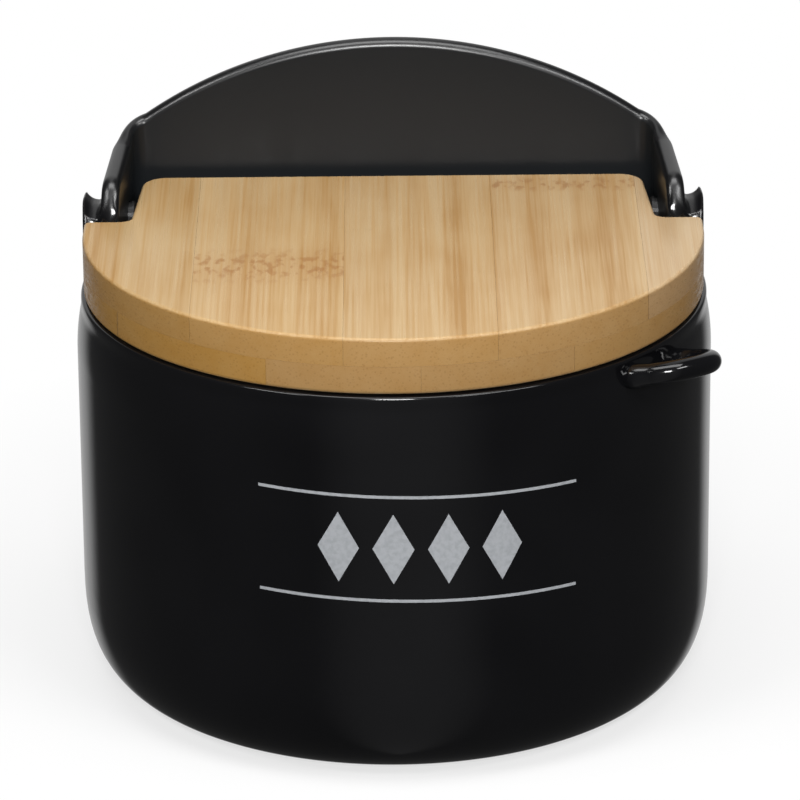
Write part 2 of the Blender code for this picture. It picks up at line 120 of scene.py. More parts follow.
# Glaze: where the hood's painted grey sheen, a painted reflection, starts and is full, and the band along the
# arch's edge
PAINTED_SHEEN_MIDDLE = 12.0  # Y of an upright line inside the hood, which the sheen's faces look towards
PAINTED_SHEEN_START = RIM_HEIGHT - 8
PAINTED_SHEEN_FULL = RIM_HEIGHT + 3
ARCH_BAND_START = HOOD_ARC - 4
ARCH_BAND_FULL = HOOD_ARC - 2

# Lid
LID_INSET = 1.6
TONGUE_GAP = 2.4  # from the tongue's sides to the cheeks, at the hinge line
LID_RADIUS = POT_RADIUS - LID_INSET
TONGUE_HALF = CHEEK_INNER - TONGUE_GAP
WING_CORNER = 1.2
TONGUE_CORNER = 5.0
TONGUE_FILLET = 2.5
LID_EDGE = 0.8
SEAM = 0.03  # what shows of the glue line between two strips
# Each strip's shade, its warmth, and (frame's Y, half length) of a culm's node that crosses it
TOP_STRIPS = (
    (0.95, 1.06, None),
    (1.01, 1.04, (-9.5, 11)),
    (1.0, 1.02, None),
    (1.0, 1.0, (37.5, 5)),
    (1.02, 0.92, None),
)
BOTTOM_STRIPS = (
    (0.98, 1.12, None),
    (1.0, 1.1, None),
    (0.99, 1.0, None),
    (0.96, 1.0, None),
    (0.97, 1.02, None),
)

# Spoon loop
LOOP_AZIMUTH = math.radians(54.6)  # where it sits on the round front, from the middle to the right
LOOP_AIM = math.radians(92)  # where it points
LOOP_DROP = 4.4
LOOP_REACH = 9.6
LOOP_HALF_SPAN = 9.0
LOOP_RADIUS = 2.1
LOOP_ROOT_RADIUS = 2.5
LOOP_ROOT_LENGTH = 4.0
LOOP_ROOT_DEPTH = 8.2
LOOP_START = 0.005  # of the coil's half turn, where its front root starts
LOOP_END = 0.98  # and where its rear root ends
LOOP_FRONT_ROOT = 2.0  # how much deeper the front root runs
LOOP_FRONT_TURN = 4.5  # how far it turns in towards the wall
LOOP_FRONT_SHARE = 0.2  # of the coil, over which it turns into the wall
LOOP_TAPER = 0.55  # thickness at the front root's buried end
LOOP_TAPER_SHARE = 0.09  # of the coil, over which it tapers
LOOP_TILT = math.radians(8)  # outer end up
LOOP_LEAN = math.radians(15)  # front arm up
LOOP_SINK = 0.6  # how far the loop's roots stand in the pot's wall

# Print: two plain lines with a row of plain lozenges between them
PRINT_TILT = math.radians(-1.6)  # the print falls a little to the right
PRINT_MIDDLE = 4.8  # along the round front, right of its middle
PRINT_HALF = 31.8
PRINT_UPPER = 61.0
PRINT_LOWER = 39.6
PRINT_THICK = 0.6  # height of a line
PRINT_PROUD = 0.04  # how far the ink stands on the glaze
LOZENGE_COUNT = 4
LOZENGE_STEP = 10.6
LOZENGE_HALF_WIDTH = 4.0
LOZENGE_HALF_HEIGHT = 7.2
LOZENGE_POINT = 0.02  # half height of its blunt side points

# Camera, from the photograph's lens and place
CAMERA_AIM = Vector((1.05, 11.45, 56.2)) * MM
CAMERA_DISTANCE = 1.1128
CAMERA_ELEVATION = math.radians(21.46)
CAMERA_ROLL = math.radians(-0.5)
CAMERA_LENS = 249.5

# Light; 1 is the level at which a white surface that faces it renders white
FILL_LEVEL = 0.09
BACKDROP_GLOW = 0.6  # how white the backdrop is in the glaze's reflections
BACKDROP_TURN = math.radians(3)
ROOM_GLOW = 0.07
FRONT_GLOW = 0.11
FLOOR_RADIUS = 3.0
FLOOR_GAP = 0.02  # mm between the foot ring and the floor
LAMP_AIM = Vector((0, 0, 60)) * MM
# Name, azimuth from the front towards the right, elevation, distance, width, height, radiance
SOFTBOXES = (
    ("overhead_softbox", 0, 78, 1.3, 1.0, 0.55, 4.5),
    ("front_softbox", 0, 27, 1.6, 0.34, 0.24, 55),
    ("right_softbox", 42, 43, 1.3, 0.6, 0.18, 12),
    ("left_softbox", -50, 43, 1.3, 0.4, 0.18, 13),
)


def mix(a, b, share):
    """A value between a and b."""
    return a + (b - a) * share


def clamp(value):
    """The value, kept between 0 and 1."""
    return min(1.0, max(0.0, value))


def ease(value):
    """0 to 1 with a soft start and end, flat outside."""
    value = clamp(value)
    return value * value * (3 - 2 * value)


def soft_min(a, b, blend):
    """The smaller of two heights, rounded where they cross."""
    share = clamp(0.5 + (b - a) / (2 * blend))
    return mix(b, a, share) - blend * share * (1 - share)


def direction_at(angle):
    """Direction in plan of an angle that counts from the front towards the right."""
    return Vector((math.sin(angle), -math.cos(angle)))


def in_frame(place, height):
    """A point of the shared frame, still in mm, from a place in plan and its height."""
    return Vector((place.x, place.y + ARC_Y, height))


def colour(hex_text):
    """Linear RGBA of an sRGB hex colour."""
    parts = [int(hex_text[at : at + 2], 16) / 255 for at in (1, 3, 5)]
    return (*[p / 12.92 if p <= 0.04045 else ((p + 0.055) / 1.055) ** 2.4 for p in parts], 1.0)


def fill_inputs(node, inputs):
    """Sets a node's inputs, or links them where the value is another node's output."""
    for socket, value in inputs.items():
        if isinstance(value, bpy.types.NodeSocket):
            node.id_data.links.new(value, node.inputs[socket])
        else:
            node.inputs[socket].default_value = value


def add_node(tree, kind, inputs=None, out=0, stops=(), **settings):
    """Adds a node with its settings and inputs, and gives one of its outputs.

    stops are the (place, hex colour) pairs of a colour ramp.
    """
    node = tree.nodes.new(kind)
    for name, value in settings.items():
        setattr(node, name, value)
    fill_inputs(node, inputs or {})
    if stops:
        elements = node.color_ramp.elements
        while len(elements) < len(stops):
            elements.new(0.5)
        for element, (place, hex_text) in zip(elements, stops):
            element.position = place
            element.color = colour(hex_text)
    return node.outputs[out]


def new_material(name):
    """An empty material with its node tree and its Principled shader."""
    material = bpy.data.materials.new(name)
    material.use_nodes = True
    tree = material.node_tree
    return material, tree, tree.nodes["Principled BSDF"]


def stretched(tree, place, size, kind="ShaderNodeTexNoise", seed=(0, 0, 0), **inputs):
    """Noise or cells whose marks are this long along X, Y and Z, in mm."""
    scale = [1 / (length * MM) for length in size]
    spot = add_node(tree, "ShaderNodeMapping", {"Vector": place, "Location": seed, "Scale": scale})
    return add_node(tree, kind, {"Vector": spot, "Scale": 1.0, **inputs})


def unglazed_foot(tree, height, waves):
    """1 on the foot ring, where the glaze was wiped off along an edge that wanders half a millimetre."""
    wander = add_node(tree, "ShaderNodeMath", {0: waves, 1: 0.5 * MM}, operation="MULTIPLY")
    above = add_node(tree, "ShaderNodeMath", {0: height, 1: wander}, operation="SUBTRACT")
    return add_node(
        tree,
        "ShaderNodeMapRange",
        {"Value": above, "From Min": 0.05 * MM, "From Max": 0.45 * MM, "To Min": 1.0, "To Max": 0.0},
    )


def hood_inside(tree, place, height, normal):
    """1 on the faces above the lid that look in towards the lid, 0 on the rest of the pot: where the glaze
    has its painted grey sheen.
    """
    middle = (0, (ARC_Y + PAINTED_SHEEN_MIDDLE) * MM, 0)
    from_middle = add_node(tree, "ShaderNodeVectorMath", {0: place, 1: middle}, operation="SUBTRACT")
    outward = add_node(
        tree, "ShaderNodeVectorMath", {0: from_middle, 1: normal}, out="Value", operation="DOT_PRODUCT"
    )
    inward = add_node(
        tree, "ShaderNodeMapRange", {"Value": outward, "From Min": 2 * MM, "From Max": -8 * MM}
    )
    start, full = PAINTED_SHEEN_START * MM, PAINTED_SHEEN_FULL * MM
    above = add_node(tree, "ShaderNodeMapRange", {"Value": height, "From Min": start, "From Max": full})
    return add_node(tree, "ShaderNodeMath", {0: inward, 1: above}, operation="MULTIPLY")


def arch_edge(tree, place):
    """1 along the top edge of the hood's arch, by the distance from the arch's centre."""
    centre = (0, 0, (HOOD_TOP - HOOD_ARC) * MM)
    from_centre = add_node(tree, "ShaderNodeVectorMath", {0: place, 1: centre}, operation="SUBTRACT")
    upright = add_node(tree, "ShaderNodeVectorMath", {0: from_centre, 1: (1, 0, 1)}, operation="MULTIPLY")
    reach = add_node(tree, "ShaderNodeVectorMath", {0: upright}, out="Value", operation="LENGTH")
    start, full = ARCH_BAND_START * MM, ARCH_BAND_FULL * MM
    return add_node(tree, "ShaderNodeMapRange", {"Value": reach, "From Min": start, "From Max": full})


def glaze_skin(tree, place, waves):
    """The glaze's surface: slow waves, orange-peel 3.5 mm across and pinholes some 4.5 mm apart."""
    peel = add_node(tree, "ShaderNodeTexNoise", {"Vector": place, "Scale": 1 / (3.5 * MM), "Detail": 2.0})
    cells = add_node(tree, "ShaderNodeTexVoronoi", {"Vector": place, "Scale": 1 / (4.5 * MM)})
    pits = add_node(tree, "ShaderNodeMapRange", {"Value": cells, "From Min": 0.02, "From Max": 0.055})
    skin = add_node(tree, "ShaderNodeBump", {"Height": waves, "Distance": 0.10 * MM, "Strength": 0.5})
    for height, depth, strength in ((peel, 0.012, 0.6), (pits, 0.02, 0.2)):
        inputs = {"Height": height, "Distance": depth * MM, "Strength": strength, "Normal": skin}
        skin = add_node(tree, "ShaderNodeBump", inputs)
    return skin


def black_glaze():
    """Stoneware dipped in a glossy black glaze and fired.

    The glaze flows to a smooth skin with a faint orange-peel, breaks to brown where it runs thin over
    edges, and stops at the foot ring, where the bare buff clay stands on the kiln shelf. Inside the
    hood it is rougher, and its colour is a painted grey sheen, a painted reflection of the lid and
    the room. Along the arch's top edge it ran thin.
    """
    material, tree, shader = new_material("black_glazed_stoneware")
    place = add_node(tree, "ShaderNodeTexCoord", out="Object")
    height = add_node(tree, "ShaderNodeSeparateXYZ", {"Vector": place}, out="Z")
    normal = add_node(tree, "ShaderNodeNewGeometry", out="Normal")
    # Waves 22 mm long, from the glaze's slow flow in the kiln
    waves = add_node(tree, "ShaderNodeTexNoise", {"Vector": place, "Scale": 1 / (22 * MM), "Detail": 1.0})
    # Grog in the bare clay; real grog is finer, and is drawn 0.6 mm across so that it shows
    grog = add_node(tree, "ShaderNodeTexNoise", {"Vector": place, "Scale": 1 / (0.6 * MM), "Detail": 4.0})
    bare = unglazed_foot(tree, height, waves)
    # Inside the hood: a painted grey sheen, a painted reflection of the lid and the room; the glaze there is
    # also rougher
    painted_sheen_zone = hood_inside(tree, place, height, normal)
    arch = arch_edge(tree, place)

    glaze = add_node(tree, "ShaderNodeValToRGB", {"Fac": waves}, stops=((0.3, "#0b0b0d"), (0.7, "#0f0f11")))
    clay = add_node(tree, "ShaderNodeValToRGB", {"Fac": grog}, stops=((0.35, "#a8947a"), (0.65, "#c7b498")))
    sharp = add_node(tree, "ShaderNodeNewGeometry", out="Pointiness")
    thin = add_node(
        tree, "ShaderNodeMapRange", {"Value": sharp, "From Min": 0.53, "From Max": 0.62, "To Max": 0.6}
    )
    # Over the black: brown where it runs thin, buff where the clay is bare, and inside the hood a painted
    # grey sheen, a painted reflection of the lid and the room
    base = glaze
    for share, shade in ((thin, colour("#241d19")), (bare, clay), (painted_sheen_zone, colour("#1d1f21"))):
        base = add_node(tree, "ShaderNodeMix", {"Factor": share, 6: base, 7: shade}, out=2, data_type="RGBA")

    gloss = add_node(tree, "ShaderNodeMapRange", {"Value": waves, "To Min": 0.08, "To Max": 0.14})
    gloss = add_node(tree, "ShaderNodeMix", {"Factor": arch, 2: gloss, 3: 0.3})
    satin = add_node(tree, "ShaderNodeMath", {0: painted_sheen_zone, 1: 0.32}, operation="MULTIPLY")
    gloss = add_node(tree, "ShaderNodeMath", {0: gloss, 1: satin}, operation="MAXIMUM")
    roughness = add_node(tree, "ShaderNodeMix", {"Factor": bare, 2: gloss, 3: 0.85})

    # The crest of the arch keeps its shine, also where its inner side turns into the sheen
    upward = add_node(tree, "ShaderNodeSeparateXYZ", {"Vector": normal}, out="Z")
    rounded = add_node(tree, "ShaderNodeMapRange", {"Value": upward, "From Min": 0.15, "From Max": 0.5})
    crest = add_node(tree, "ShaderNodeMath", {0: rounded, 1: arch}, operation="MULTIPLY")
    shine = add_node(tree, "ShaderNodeMix", {"Factor": painted_sheen_zone, 2: 0.5, 3: 0.2})
    shine = add_node(tree, "ShaderNodeMix", {"Factor": crest, 2: shine, 3: 0.9})

    inputs = {
        "Base Color": base,
        "Roughness": roughness,
        "Specular IOR Level": shine,
        "Normal": glaze_skin(tree, place, waves),
        "IOR": 1.5,
    }
    fill_inputs(shader, inputs)
    return material


def culm_node(tree, place, seed, wood, middle, half):
    """The wood with a culm's node across it: a faint darker band with short brown flecks."""
    y = add_node(tree, "ShaderNodeSeparateXYZ", {"Vector": place}, out="Y")
    off = add_node(tree, "ShaderNodeMath", {0: y, 1: middle * MM}, operation="SUBTRACT")
    away = add_node(tree, "ShaderNodeMath", {0: off}, operation="ABSOLUTE")
    band = add_node(
        tree, "ShaderNodeMapRange", {"Value": away, "From Min": half * MM, "From Max": 0.3 * half * MM}
    )
    faint = add_node(tree, "ShaderNodeMath", {0: band, 1: 0.15}, operation="MULTIPLY")
    # Flecks about 1.5 mm wide and 3 mm long, where the bundles cross in the node
    fleck = stretched(tree, place, (1.5, 3, 1.5), seed=seed, Detail=3.0)
    marks = add_node(
        tree, "ShaderNodeMapRange", {"Value": fleck, "From Min": 0.50, "From Max": 0.62, "To Max": 0.6}
    )
    marks = add_node(tree, "ShaderNodeMath", {0: band, 1: marks}, operation="MULTIPLY")
    for share, shade in ((faint, "#b98a55"), (marks, "#a87443")):
        inputs = {"Factor": share, 6: wood, 7: colour(shade)}
        wood = add_node(tree, "ShaderNodeMix", inputs, out=2, data_type="RGBA")
    return wood


def bamboo(name, shade, warmth, knot):
    """Natural bamboo, planed, glued edge to edge, sanded and oiled.

    The fibre bundles are rods along Y: soft streaks on the board's face and specks where they end at
    its front edge. Its upright edges are darker, partly from the oil that the open grain drank and
    partly as painted shade. shade and warmth set one strip off from the next.
    """
    material, tree, shader = new_material(name)
    place = add_node(tree, "ShaderNodeTexCoord", out="Object")
    seed = Vector((len(name) * 7.3, sum(map(ord, name)) * 0.37, 0))
    # Growth of the culm: soft bands about 4 mm wide that run the strip's whole length
    band = stretched(tree, place, (4, 400, 4), seed=seed, Detail=2.0)
    # Fibre bundles: about 0.5 mm thick, some 45 mm long
    fibre = stretched(tree, place, (0.55, 45, 0.55), seed=seed, Detail=3.0)
    # Pith between the bundles: slow clouds 14 mm wide
    cloud = stretched(tree, place, (14, 30, 14), seed=seed, Detail=2.0)
    tone = add_node(tree, "ShaderNodeMix", {"Factor": 0.5, 2: band, 3: fibre})
    tone = add_node(tree, "ShaderNodeMix", {"Factor": 0.25, 2: tone, 3: cloud})
    face_tones = ((0.37, "#bb925f"), (0.47, "#caa676"), (0.59, "#d5b689"))
    wood = add_node(tree, "ShaderNodeValToRGB", {"Fac": tone}, stops=face_tones)

    # The board's upright edges all round: darker, partly from the oil that the open grain drank and partly
    # painted shade, with the cut ends of the bundles 0.7 mm apart
    normal = add_node(tree, "ShaderNodeNewGeometry", out="Normal")
    upward = add_node(tree, "ShaderNodeSeparateXYZ", {"Vector": normal}, out="Z")
    flat = add_node(tree, "ShaderNodeMath", {0: upward}, operation="ABSOLUTE")
    edge = add_node(tree, "ShaderNodeMapRange", {"Value": flat, "From Min": 0.7, "From Max": 0.3})
    oil_and_painted_shade = add_node(tree, "ShaderNodeMath", {0: edge, 1: 0.8}, operation="MULTIPLY")
    cells = stretched(tree, place, (0.7, 60, 0.7), kind="ShaderNodeTexVoronoi", seed=seed)
    specks = add_node(
        tree, "ShaderNodeMapRange", {"Value": cells, "From Min": 0.35, "From Max": 0.12, "To Max": 0.35}
    )
    cut_ends = add_node(tree, "ShaderNodeMath", {0: edge, 1: specks}, operation="MULTIPLY")
    # Darker upright edges, partly oil and partly painted shade; then the dark cut ends
    for share, stain in ((oil_and_painted_shade, "#ae854f"), (cut_ends, "#8a5f33")):
        inputs = {"Factor": share, 6: wood, 7: colour(stain)}
        wood = add_node(tree, "ShaderNodeMix", inputs, out=2, data_type="RGBA")
    if knot:
        wood = culm_node(tree, place, seed, wood, *knot)

    tinted = {"Color": wood, "Saturation": warmth, "Value": shade}
    inputs = {
        "Base Color": add_node(tree, "ShaderNodeHueSaturation", tinted),
        "Roughness": add_node(
            tree, "ShaderNodeMapRange", {"Value": fibre, "From Min": 1.0, "From Max": 0.0, "To Max": 0.7}
        ),
        "Normal": add_node(tree, "ShaderNodeBump", {"Height": fibre, "Distance": 0.03 * MM, "Strength": 0.5}),
        "IOR": 1.45,
        "Specular IOR Level": 0.3,
    }
    fill_inputs(shader, inputs)
    return material


def drawn_steel():
    """Stainless wire, drawn through a die: bright, with fine lines along its length."""
    material, tree, shader = new_material("drawn_stainless_steel")
    place = add_node(tree, "ShaderNodeTexCoord", out="Object")
    # Draw lines 8 mm long; real ones are finer, and are drawn 0.12 mm wide so that they show
    lines = stretched(tree, place, (8, 0.12, 0.12), Detail=3.0)
    inputs = {
        "Base Color": add_node(
            tree, "ShaderNodeValToRGB", {"Fac": lines}, stops=((0.3, "#a9a9ac"), (0.7, "#c6c6c8"))
        ),
        "Roughness": add_node(tree, "ShaderNodeMapRange", {"Value": lines, "To Min": 0.22, "To Max": 0.38}),
        "Normal": add_node(tree, "ShaderNodeBump", {"Height": lines, "Distance": 0.01 * MM, "Strength": 0.5}),
        "Metallic": 1.0,
    }
    fill_inputs(shader, inputs)
    return material


def moulded_nylon():
    """Black nylon from a spark-eroded mould: a fine even grain, satin."""
    material, tree, shader = new_material("moulded_black_nylon")
    place = add_node(tree, "ShaderNodeTexCoord", out="Object")
    # Spark grain; real grain is finer, and is drawn 0.2 mm across so that it shows
    grain = add_node(tree, "ShaderNodeTexNoise", {"Vector": place, "Scale": 1 / (0.2 * MM), "Detail": 2.0})
    # Flow of the melt: clouds 3 mm across
    cloud = add_node(tree, "ShaderNodeTexNoise", {"Vector": place, "Scale": 1 / (3 * MM)})
    inputs = {
        "Base Color": add_node(
            tree, "ShaderNodeValToRGB", {"Fac": cloud}, stops=((0.3, "#191919"), (0.7, "#212122"))
        ),
        "Roughness": add_node(tree, "ShaderNodeMapRange", {"Value": grain, "To Min": 0.38, "To Max": 0.52}),
        "Normal": add_node(tree, "ShaderNodeBump", {"Height": grain, "Distance": 0.02 * MM, "Strength": 0.5}),
        "IOR": 1.53,
    }
    fill_inputs(shader, inputs)
    return material


def enamel_print():
    """Grey-white overglaze enamel, screen printed and fired on: satin, a little uneven in cover."""
    material, tree, shader = new_material("overglaze_enamel_print")
    place = add_node(tree, "ShaderNodeTexCoord", out="Object")
    # Mesh marks of the screen; real ones are finer, and are drawn 0.9 mm across so that they show
    cover = add_node(tree, "ShaderNodeTexNoise", {"Vector": place, "Scale": 1 / (0.9 * MM), "Detail": 3.0})
    inputs = {
        "Base Color": add_node(
            tree, "ShaderNodeValToRGB", {"Fac": cover}, stops=((0.32, "#a4a7ab"), (0.6, "#b2b5b9"))
        ),
        "Roughness": add_node(tree, "ShaderNodeMapRange", {"Value": cover, "To Min": 0.28, "To Max": 0.42}),
        "Normal": add_node(tree, "ShaderNodeBump", {"Height": cover, "Distance": 0.01 * MM, "Strength": 0.4}),
        "IOR": 1.5,
    }
    fill_inputs(shader, inputs)
    return material


def add_piece(name, bm, material, body, slot, *nodes, smooth_angle=40):
    """Turns a bmesh into a piece that rides on a body and stands for the given nodes."""
    bmesh.ops.recalc_face_normals(bm, faces=bm.faces)
    mesh = bpy.data.meshes.new(name)
    bm.to_mesh(mesh)
    bm.free()
    mesh.shade_smooth()
    mesh.set_sharp_from_angle(angle=math.radians(smooth_angle))
    mesh.materials.append(material)
    piece = bpy.data.objects.new(name, mesh)
    bpy.context.scene.collection.objects.link(piece)
    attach(piece, body)
    if nodes:
        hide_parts(*nodes)
    return piece


def cut_away(piece, bm):
    """Cuts a bmesh out of a piece."""
    mesh = bpy.data.meshes.new("cutter")
    bmesh.ops.recalc_face_normals(bm, faces=bm.faces)
    bm.to_mesh(mesh)
    bm.free()
    cutter = bpy.data.objects.new("cutter", mesh)
    bpy.context.scene.collection.objects.link(cutter)
    cut = piece.modifiers.new("cut", "BOOLEAN")
    cut.solver = "EXACT"
    cut.object = cutter
    graph = bpy.context.evaluated_depsgraph_get()
    shaped = bpy.data.meshes.new_from_object(piece.evaluated_get(graph))
    piece.modifiers.clear()
    piece.data = shaped
    bpy.data.objects.remove(cutter)


def closed_tube(rings):
    """A bmesh through rings of points in mm, with a face over both ends."""
    bm = bmesh.new()
    rings = [[bm.verts.new(point * MM) for point in ring] for ring in rings]
    for ring, following in zip(rings, rings[1:]):
        for side in range(len(ring)):
            turn = (side + 1) % len(ring)
            bm.faces.new((ring[side], ring[turn], following[turn], following[side]))
    bm.faces.new(rings[0][::-1])
    bm.faces.new(rings[-1])
    return bm


def neck_at(height):
    """How far the wall has drawn in under the rim."""
    share = (height - (RIM_HEIGHT - 2 * RIM_EDGE - NECK_UP)) / NECK_UP
    return NECK_IN * clamp(share) ** 2


def side_places(corner_y):
    """Y of the stations along the side, close together where the lug's front rises."""
    front_steps, side_steps = 6, 56
    lug_start = SWING_FRONT + LUG_FRONT_RUN
    side_end = corner_y + BACK_CORNER * math.sin(SIDE_TAPER)
    places = [SWING_FRONT + LUG_FRONT_RUN * (step / front_steps) ** 2 for step in range(front_steps)]
    return places + [mix(lug_start, side_end, (step / side_steps) ** 1.6) for step in range(side_steps)]


def half_plan():
    """Stations on the pot's right half, from the front's middle to the back's: (point, outward)."""
    front_steps, corner_steps, back_steps = 110, 24, 36
    stations = []
    for step in range(front_steps):
        outward = direction_at((math.pi / 2 + SIDE_TAPER) * step / (front_steps - 1))
        stations.append((outward * POT_RADIUS, outward))
    centre = Vector((0, POT_BACK - BACK_CORNER))
    centre.x = (POT_RADIUS - BACK_CORNER) / math.cos(SIDE_TAPER) - centre.y * math.tan(SIDE_TAPER)
    for y in side_places(POT_BACK - BACK_CORNER):
        x = POT_RADIUS / math.cos(SIDE_TAPER) - y * math.tan(SIDE_TAPER)
        stations.append((Vector((x, y)), Vector((math.cos(SIDE_TAPER), math.sin(SIDE_TAPER)))))
    for step in range(corner_steps):
        angle = mix(SIDE_TAPER, math.pi / 2, step / corner_steps)
        outward = Vector((math.cos(angle), math.sin(angle)))
        stations.append((centre + outward * BACK_CORNER, outward))
    for step in range(back_steps + 1):
        stations.append((Vector((centre.x * (1 - step / back_steps), POT_BACK)), Vector((0, 1))))
    return stations


def top_height(point, outward):
    """Height of the hood's top edge at one place: the lug's round front, then the arch."""
    middle_x = abs(point.x) - (CHEEK_INSET + HOOD_WALL / 2) * abs(outward.x)
    arch = HOOD_TOP - (HOOD_ARC - math.sqrt(HOOD_ARC**2 - middle_x**2))
    if point.y >= AXIS_Y:
        return arch
    lug = AXIS_Z + math.sqrt(max(0.0, SWING_RADIUS**2 - (AXIS_Y - point.y) ** 2))
    return soft_min(arch, lug, HOOD_WALL / 2)


def ear_height(y):
    """Height of the shoulder beside the cheek: up the ear's slope, then down to the rim's level."""
    ear = mix(EAR_START, EAR_HEIGHT, ease(0.5 + (y - SWING_FRONT - EAR_SLOPE / 2) / (1.6 * EAR_SLOPE)))
    return mix(ear, RIM_HEIGHT, ease((y - SWING_FRONT - EAR_LENGTH) / EAR_FALL))


def cheek_half(y):
    """Half the cheek's thickness, whose upright front end is round seen from above."""
    run = clamp(2 * (y - CHEEK_FRONT) / HOOD_WALL)
    return max(EAR_LIP, HOOD_WALL / 2 * (1 - (1 - run) ** 3) ** (1 / 3))


def rim_shape(neck):
    """Sizes of the wall's top where the lid lies on it: one plain rounded rim."""
    half = (POT_WALL - neck) / 2
    return SimpleNamespace(
        top=RIM_HEIGHT,
        edge=RIM_EDGE,
        squareness=RIM_SQUARENESS,
        half=half,
        middle=POT_WALL - half,
        ledge=RIM_HEIGHT - RIM_EDGE - LEDGE_ROUND,
        outer=neck,
        inset=neck,
        lip=0.0,
        turn=0.0,
    )


def hood_shape(point, outward, neck):
    """Sizes of the wall's top behind the lid: the ear or shoulder, then the cheek or hood."""
    top = top_height(point, outward)
    shoulder = ear_height(point.y)
    ear = (shoulder - RIM_HEIGHT) / (EAR_HEIGHT - RIM_HEIGHT)
    half = cheek_half(point.y)
    inset = mix(neck, CHEEK_INSET, 1 - ease(1 - abs(outward.x)))
    outer = neck - EAR_FLARE * max(0.0, (shoulder - EAR_START) / (EAR_HEIGHT - EAR_START))
    ledge = min(shoulder, top - 2 * EAR_LIP)
    return SimpleNamespace(
        top=top,
        edge=min(half, top - ledge - EAR_LIP / 2),
        squareness=1.0,
        half=half,
        middle=inset + HOOD_WALL / 2,
        ledge=ledge,
        outer=outer,
        inset=inset,
        lip=min(mix(SHOULDER_ROUND, EAR_LIP, ear), (inset - outer) / 3),
        turn=GUTTER_TURN * ear,
    )


def round_profile(reach_in, reach_up, steps=18):
    """(inset, height) pairs of a full rounding, from flat to upright."""
    pairs = []
    for step in range(steps + 1):
        angle = math.pi / 2 * (1 - step / steps)
        inset = reach_in * (1 - math.cos(angle) ** (2 / FOOT_FULLNESS)) if step else reach_in
        pairs.append((inset, reach_up * (1 - math.sin(angle) ** (2 / FOOT_FULLNESS))))
    return pairs


def foot_profile():
    """(inset, height, share of the plan) of the underside, the foot ring and the full rounding."""
    foot_share = 1 - FOOT_ROUND_IN / POT_RADIUS
    ring_share = foot_share - FOOT_WIDTH / POT_RADIUS
    recess_share = FOOT_RECESS / POT_RADIUS
    profile = [(0, FOOT_RECESS, (ring_share - recess_share) * share) for share in (0.1, 0.4, 0.7, 1.0)]
    profile.append((0, 0.4 * FOOT_RECESS, ring_share - 0.4 * recess_share))
    profile.append((0, 0, ring_share))
    profile.append((0, 0, mix(ring_share, foot_share, 0.5)))
    for draw, height in round_profile(FOOT_ROUND_IN, FOOT_ROUND_UP):
        profile.append((0, height, 1 - draw / POT_RADIUS))
    return profile


def side_profile(neck):
    """The upright side, and how it draws in under the rim."""
    steps = 12
    neck_foot = RIM_HEIGHT - 2 * RIM_EDGE - NECK_UP
    profile = [(0, mix(FOOT_ROUND_UP, neck_foot, share), 1) for share in (0.2, 0.4, 0.6, 0.8)]
    for step in range(steps + 1):
        profile.append((neck * (step / steps) ** 2, neck_foot + NECK_UP * step / steps, 1))
    return profile


def shoulder_profile(shape):
    """Over the ear's lip, down into the gutter and up the cheek; at the plain rim this has no width."""
    steps = 8
    profile = []
    for angle in (0, 30, 60):
        turned = math.radians(angle)
        sunk = LEDGE_ROUND / 2 * (1 - angle / 90)
        inset = shape.outer + shape.lip * (1 - math.cos(turned))
        profile.append((inset, shape.ledge - shape.lip * (1 - math.sin(turned)) - sunk, 1))
    width = shape.inset - shape.outer - shape.lip
    fall_width = GUTTER_SHARE * width * math.sin(shape.turn)
    fall_bend = fall_width / max(math.sin(shape.turn), 0.01)
    bottom = shape.ledge - fall_bend * (1 - math.cos(shape.turn))
    bottom_inset = shape.outer + shape.lip + fall_width
    for step in range(steps + 1):
        angle = shape.turn * (1 - step / steps)
        inset = bottom_inset - fall_bend * math.sin(angle)
        profile.append((inset, bottom + fall_bend * (1 - math.cos(angle)), 1))
    bend = width - fall_width
    squash = min(1.0, (shape.top - shape.edge - bottom) / (bend + 2 * LEDGE_ROUND))
    for step in range(1, steps + 1):
        angle = math.pi / 2 * step / steps
        rise = bend * (1 - math.cos(angle)) + LEDGE_ROUND * step / steps
        profile.append((bottom_inset + bend * math.sin(angle), bottom + rise * squash, 1))
    return profile


def top_profile(shape):
    """The rounded top edge, from its outer side to its inner one."""
    steps = 20
    profile = []
    for step in range(steps + 1):
        angle = math.pi * step / steps
        across = math.copysign(abs(math.cos(angle)) ** shape.squareness, math.cos(angle))
        up = math.sin(angle) ** shape.squareness if 0 < step < steps else 0.0
        profile.append((shape.middle - shape.half * across, shape.top - shape.edge * (1 - up), 1))
    return profile


def inner_profile(shape):
    """Down the inner side, round to the floor, and in towards the middle."""
    steps = 10
    profile = []
    for step in range(steps + 1):
        share = step / steps
        inset = mix(shape.middle + shape.half, POT_WALL, ease(share))
        profile.append((inset, mix(RIM_HEIGHT - LUG_FOOT / 3, RIM_HEIGHT - LUG_FOOT, share), 1))
    inner_radius = POT_RADIUS - POT_WALL
    for draw, height in reversed(round_profile(INNER_ROUND_IN, INNER_ROUND_UP)):
        profile.append((POT_WALL, FLOOR_THICKNESS + height, 1 - draw / inner_radius))
    for share in (0.7, 0.4, 0.1):
        profile.append((POT_WALL, FLOOR_THICKNESS, (1 - INNER_ROUND_IN / inner_radius) * share))
    return profile


def wall_section(point, outward, behind):
    """The wall's section at one place, as rim or as hood, from under the foot to the floor inside."""
    neck = NECK_IN * (1 - ease(outward.y))
    shape = hood_shape(point, outward, neck) if behind else rim_shape(neck)
    profile = foot_profile() + side_profile(neck) + shoulder_profile(shape)
    profile += top_profile(shape) + inner_profile(shape)
    return [in_frame((point - outward * inset) * share, height) for inset, height, share in profile]


